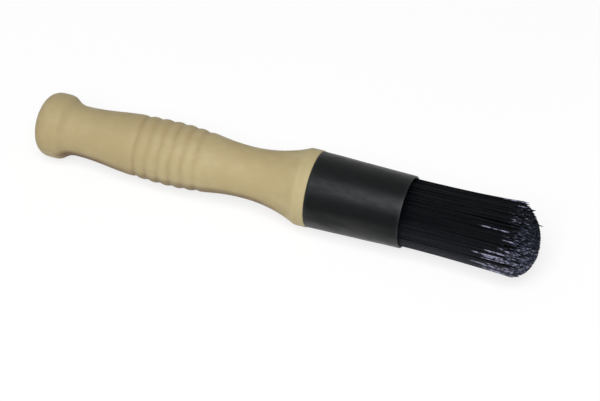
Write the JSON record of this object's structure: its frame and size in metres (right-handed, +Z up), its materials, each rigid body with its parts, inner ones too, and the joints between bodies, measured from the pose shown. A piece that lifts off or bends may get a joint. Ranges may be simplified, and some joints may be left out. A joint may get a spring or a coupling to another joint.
{
  "type": "bee brush",
  "caption": "Round hand brush with a knob-ended ribbed grip, a tapered black ferrule and a domed pack of stiff black filaments.",
  "frame": {"origin": "centre of the small flat face on the handle's butt, on the brush's axis", "axes": "+X along the brush's axis from the butt to the bristle tips, +Z up as it lies; round about X"},
  "size_m": [0.2519, 0.0372, 0.0373],
  "materials": {
    "handle_plastic": "satin cream moulded plastic",
    "ferrule_plastic": "smooth black plastic, semi-gloss",
    "filament_nylon": "black nylon with a silky sheen",
    "resin": "cured setting resin",
    "band_rubber": "plain rubber",
    "plug_wood": "plain turned wood"
  },
  "bodies": {
    "root": {"handle": "handle_plastic", "ferrule": "ferrule_plastic", "resin_setting": "resin", "binding_band": "band_rubber", "centre_plug": "plug_wood", "bristle_pack": "filament_nylon"}
  },
  "joints": []
}
